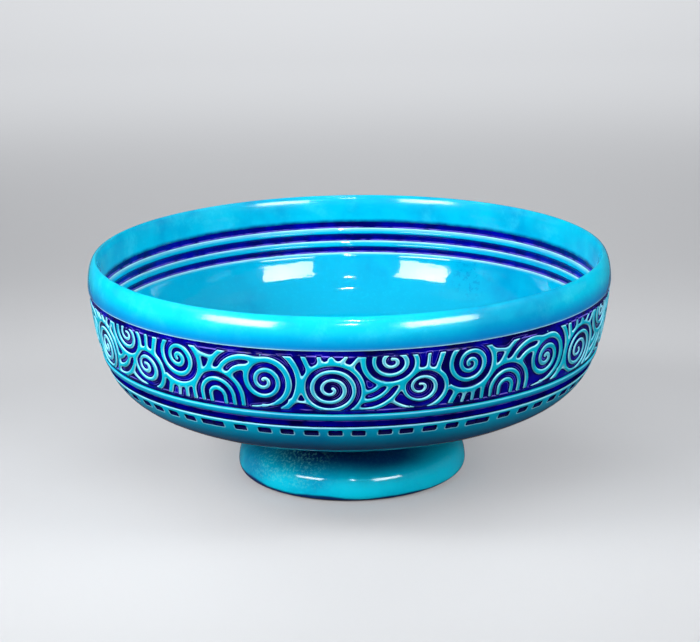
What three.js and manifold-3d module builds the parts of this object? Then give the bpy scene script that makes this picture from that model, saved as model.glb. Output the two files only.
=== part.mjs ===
// A footed earthenware dish: a thrown bowl, luted with slip onto a hollow pedestal foot.
// Cobalt enamel lies in recesses of the wall, and six equal relief panels stand on its ground.
// Millimetres, +Z up. The origin is on the dish's axis, at the level the foot stands on.

import * as THREE from "three";
import { mergeGeometries, mergeVertices } from "three/addons/utils/BufferGeometryUtils.js";
import Module from "manifold-3d";

const wasm = await Module();
wasm.setup();

// Overall sizes
const dishHeight = 123;
const bowlRadius = 140.2;
const rimHeight = 13.5;
const crestInset = 4.5;
const wallThickness = 6.6;
const floorThickness = 8.4;
const turnedSides = 48;

// The outer wall is one curve from under the rim down to the seat on the foot
const seatHeight = 34.1;
const seatRadius = 46;
const wallFullness = 0.826;
const wallLean = 5.9;
const bellyFullness = 0.836;
const bellyRise = 0.131;

// Bands down the outer wall, as lengths along its curve from the curve's top
const friezeTop = 2.5;
const friezeHeight = 33.6;
const upperRingHeight = 4;
const outerGrooveHeight = 3.7;
const dashDrop = 2.8;
const dashHeight = 3;
const dashWidth = 6.6;
const dashDepth = 1.2;
const dashCount = 72;

// Enamel and the recesses that it lies in
const recessDepth = 1.6;
const enamelThickness = 0.4;
const enamelClearance = 0.05;

// Grooves turned inside, under the smooth band of the rim
const innerBandHeight = 16.3;
const innerGrooveHeights = [3.7, 3.4, 2.8];
const innerRidgeHeight = 4.3;

// Foot and the slip that joins it
const footRadius = 62.2;
const footRollHeight = 14;
const footRollBulge = 1.2;
const footRollFlat = 4;
const footEdgeHeight = 1.6;
const bearingInset = 4.2;
const bearingWidth = 6.2;
const hollowFlare = 1.5;
const collarTopRadius = 48;
const collarFlare = 1;
const collarWaistDrop = 8;
const collarTopHeight = 2;
const footWallThickness = 8.6;
const slipThickness = 0.8;

// Frieze relief: one pattern, repeated round the wall
const repeatCount = 6;
const patternColumns = 60;
const patternRows = 12;
const ridgeWidth = 2.3;
const outerStep = 40;
const innerStep = 60;
const arcChordLength = 8.7;
const longestFlatEdge = 15;
const reliefGap = 0.3;
const lineWidth = 0.9;
const borderInset = 2.3;
const panelGap = 0.5;
const frontDegrees = -93.7;

const full = 2 * Math.PI;
const toRadians = Math.PI / 180;

// Wall curve

const wallTop = dishHeight - rimHeight;
const wallRise = wallTop - seatHeight;
const wallCurve = new THREE.CubicBezierCurve(
  new THREE.Vector2(bowlRadius, wallTop),
  new THREE.Vector2(bowlRadius - wallLean, wallTop - wallFullness * wallRise),
  new THREE.Vector2(
    seatRadius + bellyFullness * (bowlRadius - seatRadius),
    seatHeight + bellyRise * wallRise,
  ),
  new THREE.Vector2(seatRadius, seatHeight),
);
wallCurve.arcLengthDivisions = 400;
const wallLength = wallCurve.getLength();

// Point at a length down the wall, moved outwards by lift, as (radius, height)
function wallPoint(down, lift = 0) {
  const share = THREE.MathUtils.clamp(down / wallLength, 0, 1);
  const point = wallCurve.getPointAt(share);
  const along = wallCurve.getTangentAt(share);
  return new THREE.Vector2(point.x - along.y * lift, point.y + along.x * lift);
}

function wallStretch(from, to, lift, count) {
  return Array.from({ length: count + 1 }, (_, i) => wallPoint(from + ((to - from) * i) / count, lift));
}

// Band edges, worked out from the sizes above
const friezeBottom = friezeTop + friezeHeight;
const grooveTop = friezeBottom + upperRingHeight;
const grooveBottom = grooveTop + outerGrooveHeight;
const dashMiddle = grooveBottom + dashDrop + dashHeight / 2;

// Material and mesh helpers

function finish(color, roughness) {
  return new THREE.MeshStandardMaterial({ color, roughness, metalness: 0 });
}

const turquoise = finish(0x12a9cf, 0.18);
const cobalt = finish(0x06126e, 0.15);
const slipClay = finish(0xc9a67c, 0.8);

const dish = new THREE.Group();

function addPiece(name, geometry, material, parent = dish) {
  const mesh = new THREE.Mesh(geometry, material);
  mesh.name = name;
  parent.add(mesh);
  return mesh;
}

// A closed outline turned about +Z; the lathe turns about +Y, so the result is stood up
function turned(outline) {
  const distinct = outline.filter((point, i) => i === 0 || point.distanceTo(outline[i - 1]) > 1e-6);
  return new THREE.LatheGeometry(distinct, turnedSides).rotateX(Math.PI / 2);
}

function ring(outline) {
  return turned([...outline, outline[0].clone()]);
}

function toSolid(geometry) {
  const plain = geometry.clone();
  plain.deleteAttribute("normal");
  plain.deleteAttribute("uv");
  const merged = mergeVertices(plain, 1e-4);
  const mesh = new wasm.Mesh({
    numProp: 3,
    vertProperties: new Float32Array(merged.attributes.position.array),
    triVerts: new Uint32Array(merged.index.array),
  });
  return new wasm.Manifold(mesh);
}

function toGeometry(solid) {
  const mesh = solid.getMesh();
  const geometry = new THREE.BufferGeometry();
  geometry.setAttribute("position", new THREE.BufferAttribute(mesh.vertProperties, 3));
  geometry.setIndex(new THREE.BufferAttribute(mesh.triVerts, 1));
  geometry.computeVertexNormals();
  return geometry;
}

// Bowl

// Quarter of an ellipse from one point to another, leaving the first one upright
function roundedEdge(from, to, count) {
  return Array.from({ length: count + 1 }, (_, i) => {
    const turn = (Math.PI / 2) * (i / count);
    return new THREE.Vector2(
      to.x + (from.x - to.x) * Math.cos(turn),
      from.y + (to.y - from.y) * Math.sin(turn),
    );
  });
}

const crest = new THREE.Vector2(bowlRadius - crestInset, dishHeight);
const bandBottom = dishHeight - innerBandHeight;

// Thickness of the wall grows towards the floor
function thicknessAt(down) {
  const share = down / wallLength;
  return wallThickness + (floorThickness - wallThickness) * share * share;
}

// Radius of the inner wall at a height above the well, from the outer wall and its thickness
function innerRadius(height) {
  const down = Math.max(0, wallTop - height);
  return wallPoint(down).x - wallThickness;
}

// Heights of each inner groove: [top, bottom]
const innerGrooves = [];
let grooveStart = bandBottom;
for (const height of innerGrooveHeights) {
  innerGrooves.push([grooveStart, grooveStart - height]);
  grooveStart -= height + innerRidgeHeight;
}
const wellEdge = grooveStart + innerRidgeHeight;

function innerGrooveCorners([top, bottom], from, to) {
  return [
    new THREE.Vector2(innerRadius(top) + from, top),
    new THREE.Vector2(innerRadius(top) + to, top),
    new THREE.Vector2(innerRadius(bottom) + to, bottom),
    new THREE.Vector2(innerRadius(bottom) + from, bottom),
  ];
}

// The well starts under the last groove, follows the outer wall and levels out over the foot
function wellOutline() {
  const start = wallTop - wellEdge;
  const end = wallLength - seatRadius / 2;
  const side = Array.from({ length: 7 }, (_, i) => {
    const down = start + ((end - start) * (i + 1)) / 7;
    return wallPoint(down, -thicknessAt(down));
  });
  const last = side[side.length - 1];
  const centre = new THREE.Vector2(0, seatHeight + floorThickness);
  const easing = last.clone().lerp(centre, 0.5);
  easing.y -= (last.y - centre.y) / 4;
  return [...side, easing, centre];
}

const bowlOutline = [
  new THREE.Vector2(0, seatHeight),
  ...wallStretch(wallLength, grooveBottom, 0, 5),
  ...wallStretch(grooveBottom, grooveTop, -recessDepth, 1),
  ...wallStretch(grooveTop, friezeBottom, 0, 1),
  ...wallStretch(friezeBottom, friezeTop, -recessDepth, 2),
  wallPoint(friezeTop),
  ...roundedEdge(wallPoint(0), crest, 3),
  ...roundedEdge(new THREE.Vector2(innerRadius(wallTop), wallTop), crest, 3).reverse().slice(1),
  ...innerGrooves.flatMap((groove) => innerGrooveCorners(groove, 0, recessDepth)),
  ...wellOutline(),
];

// One box for each dash, standing on the wall where the dash is sunk into it
function dashCutters() {
  const middle = wallPoint(dashMiddle);
  const along = wallCurve.getTangentAt(dashMiddle / wallLength);
  const boxes = [];
  for (let i = 0; i < dashCount; i++) {
    const box = new THREE.BoxGeometry(2 * dashDepth, dashWidth, dashHeight);
    box.rotateY(Math.atan2(-along.x, -along.y));
    box.translate(middle.x, 0, middle.y);
    box.rotateZ(full * ((i + 0.5) / dashCount) + frontDegrees * toRadians);
    boxes.push(box);
  }
  return toSolid(mergeGeometries(boxes));
}

const bowl = toSolid(turned(bowlOutline)).subtract(dashCutters());
addPiece("bowl_body", toGeometry(bowl), turquoise);

// Foot

function footOutline() {
  const top = seatHeight - slipThickness;
  const rollMiddle = footRollHeight / 2;
  const bearingRadius = footRadius - bearingInset;
  const collar = new THREE.QuadraticBezierCurve(
    new THREE.Vector2(footRadius - footRollBulge, footRollHeight),
    new THREE.Vector2(collarTopRadius + collarFlare, top - collarWaistDrop),
    new THREE.Vector2(collarTopRadius, top - collarTopHeight),
  );
  const outside = [
    new THREE.Vector2(bearingRadius, 0),
    new THREE.Vector2(footRadius - footRollBulge, footEdgeHeight),
    new THREE.Vector2(footRadius, rollMiddle - footRollFlat / 2),
    new THREE.Vector2(footRadius, rollMiddle + footRollFlat / 2),
    ...collar.getPoints(4),
    new THREE.Vector2(collarTopRadius, top),
  ];
  const inside = [
    new THREE.Vector2(collarTopRadius - footWallThickness, top),
    new THREE.Vector2(collarTopRadius - footWallThickness, top - collarWaistDrop),
    new THREE.Vector2(bearingRadius - bearingWidth - hollowFlare, rollMiddle),
    new THREE.Vector2(bearingRadius - bearingWidth, 0),
  ];
  return [...outside, ...inside];
}

addPiece("pedestal_foot", ring(footOutline()), turquoise);

const slipOutline = [
  new THREE.Vector2(collarTopRadius - footWallThickness, seatHeight - slipThickness),
  new THREE.Vector2(collarTopRadius, seatHeight - slipThickness),
  new THREE.Vector2(seatRadius, seatHeight),
  new THREE.Vector2(collarTopRadius - footWallThickness, seatHeight),
];
addPiece("foot_luting_ring", ring(slipOutline), slipClay);

// Enamel rings: each lies on the floor of its recess, a hair's breadth clear of the clay

const enamelLift = enamelThickness - recessDepth;
const enamelBack = enamelClearance - recessDepth;

function outerEnamel(from, to, count) {
  const lower = from - enamelClearance;
  const upper = to + enamelClearance;
  return ring([
    ...wallStretch(lower, upper, enamelLift, count),
    ...wallStretch(lower, upper, enamelBack, count).reverse(),
  ]);
}

addPiece("frieze_ground_enamel", outerEnamel(friezeBottom, friezeTop, 2), cobalt);
addPiece("outer_groove_enamel", outerEnamel(grooveBottom, grooveTop, 1), cobalt);
innerGrooves.forEach((groove, i) => {
  const [top, bottom] = groove;
  const filled = [top - enamelClearance, bottom + enamelClearance];
  const corners = innerGrooveCorners(filled, -enamelLift, -enamelBack);
  addPiece(`inner_groove_enamel_${i + 1}`, ring(corners.reverse()), cobalt);
});

// Frieze relief. The pattern is drawn on a grid of columns round the wall and rows from border to
// border, so it fills its band at any size. A place in it is (column, row), from the large
// scroll's middle, and radii and pitches are in columns. Turns are in degrees.

const patternRadius = bowlRadius - recessDepth;
const columnWidth = (full * patternRadius) / repeatCount / patternColumns;
const borderTop = friezeTop + borderInset;
const borderBottom = friezeBottom - borderInset;
const rowHeight = (borderBottom - borderTop) / patternRows;
const reliefHeight = recessDepth - enamelThickness - reliefGap;

function place(column, row) {
  return new THREE.Vector2(column, row);
}

function polar(middle, radius, degrees) {
  const angle = degrees * toRadians;
  return place(middle.x + radius * Math.cos(angle), middle.y - radius * Math.sin(angle));
}

// Place in the grid, in millimetres round the wall and down its curve
function onBand({ x, y }) {
  return new THREE.Vector2(x * columnWidth, borderTop + y * rowHeight);
}

function onWall(x, down, lift) {
  const section = wallPoint(down, lift);
  const angle = x / patternRadius;
  return [section.x * Math.cos(angle), section.x * Math.sin(angle), section.y];
}

// A scroll winds inwards from its radius, losing its pitch in each turn
function scrollLine({ middle, radius, pitch, start }) {
  const points = [];
  let turn = 0;
  let reach = radius;
  while (reach * columnWidth > ridgeWidth / 2) {
    points.push(polar(middle, reach, start + turn));
    turn += turn < 360 ? outerStep : innerStep;
    reach = radius - (pitch * turn) / 360;
  }
  return points;
}

// Outline of a scroll: its outermost turn, closed on itself
function scrollOutline(scroll) {
  return scrollLine(scroll).slice(0, 360 / outerStep + 1).map(onBand);
}

function arcLine(middle, radius, from, to) {
  const angle = Math.abs(to - from);
  const count = Math.max(2, Math.round((angle * toRadians * radius * columnWidth) / arcChordLength));
  const step = (to - from) / count;
  return Array.from({ length: count + 1 }, (_, i) => polar(middle, radius, from + step * i));
}

function insideOutline(point, outline) {
  let inside = false;
  for (let i = 0, j = outline.length - 1; i < outline.length; j = i++) {
    const a = outline[i];
    const b = outline[j];
    const crosses = a.y > point.y !== b.y > point.y;
    if (crosses && point.x < ((b.x - a.x) * (point.y - a.y)) / (b.y - a.y) + a.x) inside = !inside;
  }
  return inside;
}

// Stretches of a line that lie in the open, each ended exactly where the line goes under
function openStretches(line, isHidden) {
  const stretches = [];
  let current = [];
  const crossing = (open, hidden) => {
    let near = open.clone();
    let far = hidden.clone();
    for (let i = 0; i < 20; i++) {
      const half = near.clone().lerp(far, 0.5);
      if (isHidden(half)) far = half;
      else near = half;
    }
    return far;
  };
  line.forEach((point, i) => {
    const hidden = isHidden(point);
    const before = line[i - 1];
    if (i > 0 && hidden !== isHidden(before)) {
      current.push(hidden ? crossing(before, point) : crossing(point, before));
      if (hidden) {
        stretches.push(current);
        current = [];
      }
    }
    if (!hidden) current.push(point);
  });
  stretches.push(current);
  const spaced = stretches.filter((points) => points.length > 1).map((points) => {
    const last = points.length - 1;
    const apart = (p, i) => Math.min(p.distanceTo(points[0]), p.distanceTo(points[last])) > ridgeWidth;
    return points.filter((p, i) => i === 0 || i === last || apart(p, i));
  });
  return spaced.filter((points) => points[0].distanceTo(points[points.length - 1]) > ridgeWidth);
}

// A raised ridge along a line of places, drawn flat: x round the wall, y up it and z out of it
function flatRidge(line, width, height) {
  const positions = [];
  line.forEach((point, i) => {
    const before = line[Math.max(0, i - 1)];
    const after = line[Math.min(line.length - 1, i + 1)];
    const along = after.clone().sub(before).normalize();
    const entering = point.clone().sub(before).normalize();
    const mitre = i > 0 && i < line.length - 1 ? Math.max(0.6, along.dot(entering)) : 1;
    const reach = width / 2 / mitre;
    for (const [side, out] of [[-reach, 0], [reach, 0], [reach, height], [-reach, height]]) {
      positions.push(point.x - along.y * side, -(point.y + along.x * side), out);
    }
  });
  const faces = [0, 1, 2, 0, 2, 3];
  for (let i = 0; i + 1 < line.length; i++) {
    for (let k = 0; k < 4; k++) {
      const a = 4 * i + k;
      const b = 4 * i + ((k + 1) % 4);
      faces.push(a, b + 4, b, a, a + 4, b + 4);
    }
  }
  const end = 4 * (line.length - 1);
  faces.push(end, end + 2, end + 1, end, end + 3, end + 2);
  const geometry = new THREE.BufferGeometry();
  geometry.setAttribute("position", new THREE.Float32BufferAttribute(positions, 3));
  geometry.setIndex(faces);
  return toSolid(geometry);
}

// Splits every edge longer than the limit at its middle, so that flat faces can bend
function splitLongEdges(places, faces, limit) {
  for (;;) {
    const middles = new Map();
    const middleOf = (a, b) => {
      const key = a < b ? `${a} ${b}` : `${b} ${a}`;
      if (!middles.has(key) && places[a].distanceTo(places[b]) > limit) {
        middles.set(key, places.push(places[a].clone().lerp(places[b], 0.5)) - 1);
      }
      return middles.get(key);
    };
    const finer = [];
    for (const corners of faces) {
      const cut = corners.map((a, k) => middleOf(a, corners[(k + 1) % 3]));
      const count = cut.filter((middle) => middle !== undefined).length;
      const isFirst = (middle, k) => middle !== undefined && (count !== 2 || cut[(k + 1) % 3] !== undefined);
      const first = cut.findIndex(isFirst);
      const [a, b, c] = [0, 1, 2].map((k) => corners[(k + first + 3) % 3]);
      const [ab, bc, ca] = [0, 1, 2].map((k) => cut[(k + first + 3) % 3]);
      if (count === 0) finer.push(corners);
      if (count === 1) finer.push([a, ab, c], [ab, b, c]);
      if (count === 2) finer.push([ab, b, bc], [a, ab, c], [ab, bc, c]);
      if (count === 3) finer.push([a, ab, ca], [ab, b, bc], [ca, bc, c], [ab, bc, ca]);
    }
    if (middles.size === 0) return faces;
    faces = finer;
  }
}

// Bends a flat solid onto the wall
function bentOntoWall(solid) {
  const mesh = solid.getMesh();
  const places = [];
  for (let i = 0; i < mesh.vertProperties.length; i += 3) {
    places.push(new THREE.Vector3(...mesh.vertProperties.subarray(i, i + 3)));
  }
  const corners = Array.from(mesh.triVerts);
  const faces = Array.from({ length: corners.length / 3 }, (_, i) => corners.slice(3 * i, 3 * i + 3));
  const finer = splitLongEdges(places, faces, longestFlatEdge);
  const base = enamelLift + reliefGap;
  const positions = places.flatMap(({ x, y, z }) => onWall(x, -y, base + z));
  const geometry = new THREE.BufferGeometry();
  geometry.setAttribute("position", new THREE.Float32BufferAttribute(positions, 3));
  geometry.setIndex(finer.flat());
  geometry.computeVertexNormals();
  return geometry;
}

// The pattern's motifs, from the front one back

const scrolls = [
  { middle: place(0, 7.03), radius: 6.08, pitch: 1.78, start: 310 },
  { middle: place(27.8, 3.14), radius: 6.28, pitch: 2.11, start: 215 },
  { middle: place(12, 1.07), radius: 5.46, pitch: 1.9, start: 150 },
  { middle: place(18.3, 7.03), radius: 5.33, pitch: 1.9, start: 209 },
  { middle: place(46.1, 5.83), radius: 6.04, pitch: 2.07, start: 250 },
];
const fans = [
  { middle: place(6.6, 4.3), radii: [3.43, 5.38, 7.36], from: -125, to: 20 },
  { middle: place(42.4, 6.18), radii: [3.47, 5.58, 8.15], from: 75, to: 185 },
];
const arch = { middle: place(36.3, 10.3), radii: [1.78, 3.76, 5.79] };
const echo = { middle: scrolls[4].middle, radius: 7.36, from: -58, to: 56 };
const ties = [
  { middle: scrolls[2].middle, from: -5.7, to: 5.7, row: 0 },
  { middle: scrolls[1].middle, from: -4.13, to: 5.58, row: 0 },
  { middle: scrolls[4].middle, from: 0, to: 4.96, row: 0.37 },
  { middle: arch.middle, from: -6, to: 6, row: patternRows },
];
const rays = [
  { middle: scrolls[0].middle, turns: [130, 108, 89, 68, 50], up: true },
  { middle: scrolls[3].middle, turns: [81, 60], up: true },
  { middle: scrolls[1].middle, turns: [246, 263, 279, 295], up: false },
];

function rayLine(middle, degrees, row) {
  const reach = Math.abs((row - middle.y) / Math.sin(degrees * toRadians));
  return [0, 0.5, 1].map((share) => polar(middle, reach * share, degrees));
}

// Outline of the next repeat's large scroll, widened so that this panel's ridges end clear of it
function nextPanelOutline() {
  const next = { ...scrolls[0], middle: place(patternColumns, scrolls[0].middle.y) };
  const middle = onBand(next.middle);
  return scrollOutline(next).map((point) => {
    const away = point.clone().sub(middle).setLength(ridgeWidth + panelGap);
    return point.add(away);
  });
}

function reliefPanel() {
  const ridges = [];
  const outlines = [nextPanelOutline()];
  const spare = lineWidth / 2;
  const offBand = (point) => point.y < borderTop - spare || point.y > borderBottom + spare;
  const draw = (line) => {
    const hidden = (point) => offBand(point) || outlines.some((outline) => insideOutline(point, outline));
    for (const stretch of openStretches(line.map(onBand), hidden)) {
      ridges.push(flatRidge(stretch, ridgeWidth, reliefHeight));
    }
  };
  for (const scroll of scrolls) {
    draw(scrollLine(scroll));
    outlines.push(scrollOutline(scroll));
  }
  draw(arcLine(echo.middle, echo.radius, echo.from, echo.to));
  for (const radius of arch.radii) {
    const legs = [-radius, radius].map((side) => place(arch.middle.x + side, patternRows));
    draw([legs[1], ...arcLine(arch.middle, radius, 0, 180), legs[0]]);
  }
  outlines.push(arcLine(arch.middle, arch.radii[2], 0, 180).map(onBand));
  for (const fan of fans) {
    for (const radius of fan.radii) draw(arcLine(fan.middle, radius, fan.from, fan.to));
  }
  for (const { middle, turns, up } of rays) {
    for (const degrees of turns) draw(rayLine(middle, degrees, up ? 0 : patternRows));
  }
  for (const { middle, from, to, row } of ties) {
    const line = [place(middle.x + from, row), place(middle.x + to, row)].map(onBand);
    ridges.push(flatRidge(line, lineWidth, reliefHeight));
  }
  return ridges.reduce((sum, solid) => sum.add(solid));
}

const panel = bentOntoWall(reliefPanel());
for (let i = 0; i < repeatCount; i++) {
  const turn = new THREE.Group();
  turn.rotation.z = (full * i) / repeatCount + frontDegrees * toRadians;
  dish.add(turn);
  addPiece(`frieze_relief_${i + 1}`, panel, turquoise, turn);
}

export default dish;
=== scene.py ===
# %% [markdown]
# A footed earthenware dish. The bowl was thrown on a wheel, a hollow foot was luted under it,
# a frieze of scrolls stands out of its wall, and turquoise glaze and cobalt enamel cover it.
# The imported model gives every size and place. This script makes the fine shapes and finishes.

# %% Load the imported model
import math

import bpy
import numpy as np
from mathutils import Matrix, Vector


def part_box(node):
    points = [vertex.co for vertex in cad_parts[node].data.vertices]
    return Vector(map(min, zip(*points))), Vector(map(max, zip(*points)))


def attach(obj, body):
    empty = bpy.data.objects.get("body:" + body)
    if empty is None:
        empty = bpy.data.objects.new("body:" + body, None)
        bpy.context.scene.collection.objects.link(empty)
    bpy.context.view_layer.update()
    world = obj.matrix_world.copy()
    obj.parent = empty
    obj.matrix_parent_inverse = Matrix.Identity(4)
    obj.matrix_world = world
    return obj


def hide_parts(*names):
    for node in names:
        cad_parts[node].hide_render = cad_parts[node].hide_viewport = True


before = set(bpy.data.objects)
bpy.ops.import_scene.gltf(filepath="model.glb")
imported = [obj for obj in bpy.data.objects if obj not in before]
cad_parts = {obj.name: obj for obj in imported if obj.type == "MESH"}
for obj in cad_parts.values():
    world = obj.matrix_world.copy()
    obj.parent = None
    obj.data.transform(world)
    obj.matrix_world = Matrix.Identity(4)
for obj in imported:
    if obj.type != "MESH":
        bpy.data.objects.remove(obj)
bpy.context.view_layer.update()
scene = bpy.context.scene
scene.view_settings.view_transform = "Standard"
mm = 0.001

bowl_low, bowl_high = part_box("bowl_body")
foot_low, foot_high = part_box("pedestal_foot")
dish_height = bowl_high[2] / mm
bowl_radius = bowl_high[0] / mm
seat_height = bowl_low[2] / mm
print("dish", round(2 * bowl_radius, 1), "mm across,", round(dish_height, 1), "mm high")
print("foot", [round((high - low) / mm, 1) for low, high in zip(foot_low, foot_high)], "mm")

# %% [markdown]
# The camera stands where the photographer stood: about a metre in front of the dish, looking
# down on it by sixteen degrees through a long lens, and leaning a little to one side.

# %% Camera
camera_distance = 0.98833
camera_height = 0.36364
camera_pitch = 0.2775
camera_lean = -0.0153
focal_length = 97.12

forward = Vector((0, math.cos(camera_pitch), -math.sin(camera_pitch)))
level_right = Vector((1, 0, 0))
level_up = Vector((0, math.sin(camera_pitch), math.cos(camera_pitch)))
right = level_right * math.cos(camera_lean) + level_up * math.sin(camera_lean)
up = level_up * math.cos(camera_lean) - level_right * math.sin(camera_lean)
camera = bpy.data.objects.new("camera", bpy.data.cameras.new("camera"))
scene.collection.objects.link(camera)
camera.matrix_world = Matrix.Translation((0, -camera_distance, camera_height)) @ Matrix(
    (right, up, -forward)).transposed().to_4x4()
camera.data.lens = focal_length
camera.data.sensor_width = 36
camera.data.clip_end = 50
scene.camera = camera
print("camera", [round(value, 3) for value in camera.location])

# %% [markdown]
# Shader and geometry maths read best as ordinary expressions. A term wraps a node's output and
# turns +, -, * and / into Math nodes.

# %% Node outputs in expressions
class Term:
    """A node's output that can be used in a sum like a number."""

    def __init__(self, graph, socket):
        self.graph, self.socket = graph, socket

    def maths(self, operation, *others):
        return self.graph.node("ShaderNodeMath", {"operation": operation}, dict(enumerate([self, *others])))

    def __add__(self, other):
        return self.maths("ADD", other)

    def __sub__(self, other):
        return self.maths("SUBTRACT", other)

    def __rsub__(self, other):
        return self.graph.node("ShaderNodeMath", {"operation": "SUBTRACT"}, {0: other, 1: self})

    def __mul__(self, other):
        return self.maths("MULTIPLY", other)

    def __truediv__(self, other):
        return self.maths("DIVIDE", other)

    __radd__, __rmul__ = __add__, __mul__

    def clamped(self):
        return self.maths("MAXIMUM", 0.0).maths("MINIMUM", 1.0)

    def ramp(self, low, high):
        """0 below low, 1 above high, and a smooth rise between them."""
        return self.graph.node("ShaderNodeMapRange", {"interpolation_type": "SMOOTHSTEP"},
                               {"Value": self, "From Min": low, "From Max": high})


# %% [markdown]
# Every node of every tree comes from one method. It takes the node's settings by name, and its
# sockets by name or number, each with a term to link or a plain value.

# %% Node trees
class Graph:
    """Adds nodes to a node tree."""

    def __init__(self, tree):
        self.tree = tree

    def node(self, kind, settings=None, sockets=None, output=0):
        added = self.tree.nodes.new(kind)
        for name, value in (settings or {}).items():
            setattr(added, name, value)
        for name, value in (sockets or {}).items():
            if isinstance(value, Term):
                self.tree.links.new(value.socket, added.inputs[name])
            else:
                added.inputs[name].default_value = value
        return Term(self, added.outputs[output])

    def parts(self, vector):
        """The x, y and z of a vector."""
        first = self.node("ShaderNodeSeparateXYZ", None, {0: vector})
        return [Term(self, socket) for socket in first.socket.node.outputs]

    def on_circle(self, radius, turn, height):
        """The place at a radius, at an angle round the dish's axis, and at a height."""
        return self.node("ShaderNodeCombineXYZ", None, {
            0: radius * turn.maths("COSINE"), 1: radius * turn.maths("SINE"), 2: height})

    def blend(self, share, first, second):
        """Colour first where share is 0, and second where it is 1."""
        added = self.tree.nodes.new("ShaderNodeMix")
        added.data_type = "RGBA"
        for number, value in ((0, share), (6, first), (7, second)):
            socket = added.inputs[number]
            if isinstance(value, Term):
                self.tree.links.new(value.socket, socket)
            else:
                socket.default_value = value
        return Term(self, added.outputs[2])


# %% [markdown]
# A colour picked on a screen is brighter in its numbers than the light it stands for. Nodes need
# the light, so each colour is turned into linear values.

# %% Screen colours
screen_gamma = 2.2


def linear(red, green, blue):
    """A colour as seen on a screen, from 0 to 255, as the linear colour that nodes use."""
    return tuple((value / 255) ** screen_gamma for value in (red, green, blue)) + (1.0,)


print("a middle grey of 128 is", round(linear(128, 128, 128)[0], 3), "in a node")

# %% [markdown]
# Glaze is a glassy coat. Where it lies thick, in hollows, it is deep. Where it runs off an edge
# it is thin, and the pale clay shines through. Each mesh carries how thin its glaze is and where
# cobalt covers it, and slow noise adds the cloudiness of a glaze that was brushed on by hand.

# %% Colours and patterns
deep_turquoise = linear(0, 118, 168)
full_turquoise = linear(0, 171, 202)
light_turquoise = linear(14, 190, 218)
pale_edge = linear(176, 230, 242)
dull_edge = linear(138, 204, 224)
# Painted shade for the lower half of the ring under the frieze.
ring_underside_shade = linear(0, 92, 146)
mottled_turquoise = linear(84, 234, 244)
frost_turquoise = linear(108, 208, 204)
# Painted shade: the rim's underside, the belly, the collar under the bowl, the roll's underside.
rim_underside_shade = linear(0, 104, 168)
belly_painted_shade = linear(0, 58, 118)
collar_painted_shadow = linear(0, 38, 84)
foot_underside_shade = linear(0, 22, 92)
deep_cobalt = linear(0, 0, 58)
edge_cobalt = linear(0, 0, 80)
full_cobalt = linear(0, 2, 134)
thin_cobalt = linear(112, 98, 216)
blue_run = linear(0, 74, 178)
biscuit = linear(214, 186, 150)

# The patterns in the glaze, as how often they repeat in a metre.
cloud_scale = 14
mottle_scale = 45
brush_scale = 60
patch_scale = 95
wave_scale = 150
wipe_scale = 220
stain_scale = 300
grain_scale = 420
frost_scale = 700

# Two places in metres: dark flecks in the well, and pale grains on the left of the foot.
stain_place = (0.073, 0.106, 0.079)
frost_place = (-0.036, -0.044, 0.017)
print("full turquoise is", [round(value, 3) for value in full_turquoise[:3]])

# %% [markdown]
# A finish is one glossy surface shader, fed by colours that are laid over each other. All pieces
# share one origin, so a pattern goes on from one piece to the next.

# %% A finish
class Finish(Graph):
    """A procedural material built on one glossy surface shader."""

    def __init__(self, name, roughness, specular):
        self.material = bpy.data.materials.new(name)
        self.material.use_nodes = True
        super().__init__(self.material.node_tree)
        self.tree.nodes.clear()
        self.surface = self.tree.nodes.new("ShaderNodeBsdfPrincipled")
        self.surface.inputs["Roughness"].default_value = roughness
        self.surface.inputs["Specular IOR Level"].default_value = specular
        output = self.tree.nodes.new("ShaderNodeOutputMaterial")
        self.tree.links.new(self.surface.outputs[0], output.inputs[0])
        self.place = self.node("ShaderNodeTexCoord", output=3)
        self.x, y, self.height = self.parts(self.place)
        self.reach = (self.x * self.x + y * y).maths("SQRT")
        self.slow = self.noise(cloud_scale, 3)
        self.colour = None

    def lay(self, mask, colour):
        """Lays a colour over what is there already, as strongly as the mask says."""
        self.colour = self.blend(mask, self.colour, colour)

    def noise(self, scale, detail=2.0, rough=0.5):
        """Cloudy values round 0.5. A scale of 100 makes clouds of a hundredth of a metre."""
        return self.node("ShaderNodeTexNoise", None, {
            "Vector": self.place, "Scale": scale, "Detail": detail, "Roughness": rough})

    def attribute(self, name):
        return self.node("ShaderNodeAttribute", {"attribute_name": name}, output=2)

    def distance(self, spot):
        return self.node("ShaderNodeVectorMath", {"operation": "DISTANCE"}, {0: self.place, 1: spot}, 1)

    def feed(self, socket, term):
        self.tree.links.new(term.socket, self.surface.inputs[socket])

    def bump(self, height, strength, distance):
        self.feed("Normal", self.node("ShaderNodeBump", None, {
            "Strength": strength, "Distance": distance, "Height": height}))


# %% [markdown]
# The turquoise glaze is one recipe, fired on every part. A plain blue-green would look like
# plastic, so clouds, painted shade, flecks and pale edges are laid over each other, each with a
# mask of its own. A part's finish switches on what shows there.

# %% Turquoise glaze: clouds and painted shade
def lay_clouds(finish, full, cloud, speckle):
    """Broad clouds of deeper and lighter glaze, with fine grains in the lighter ones."""
    quick = finish.noise(brush_scale, 4, 0.6)
    tone = ((finish.slow - 0.5) * cloud + (quick - 0.5) * (0.45 * cloud) + 0.5).clamped()
    finish.colour = finish.blend(tone.ramp(0.1, 0.62), deep_turquoise, full)
    finish.lay(tone.ramp(0.5, 1.0) * 0.5, light_turquoise)
    if speckle:
        grains = finish.noise(grain_scale, 2, 0.7).ramp(0.54, 0.7) * finish.slow.ramp(0.4, 0.6)
        finish.lay(grains * speckle, light_turquoise)


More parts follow.
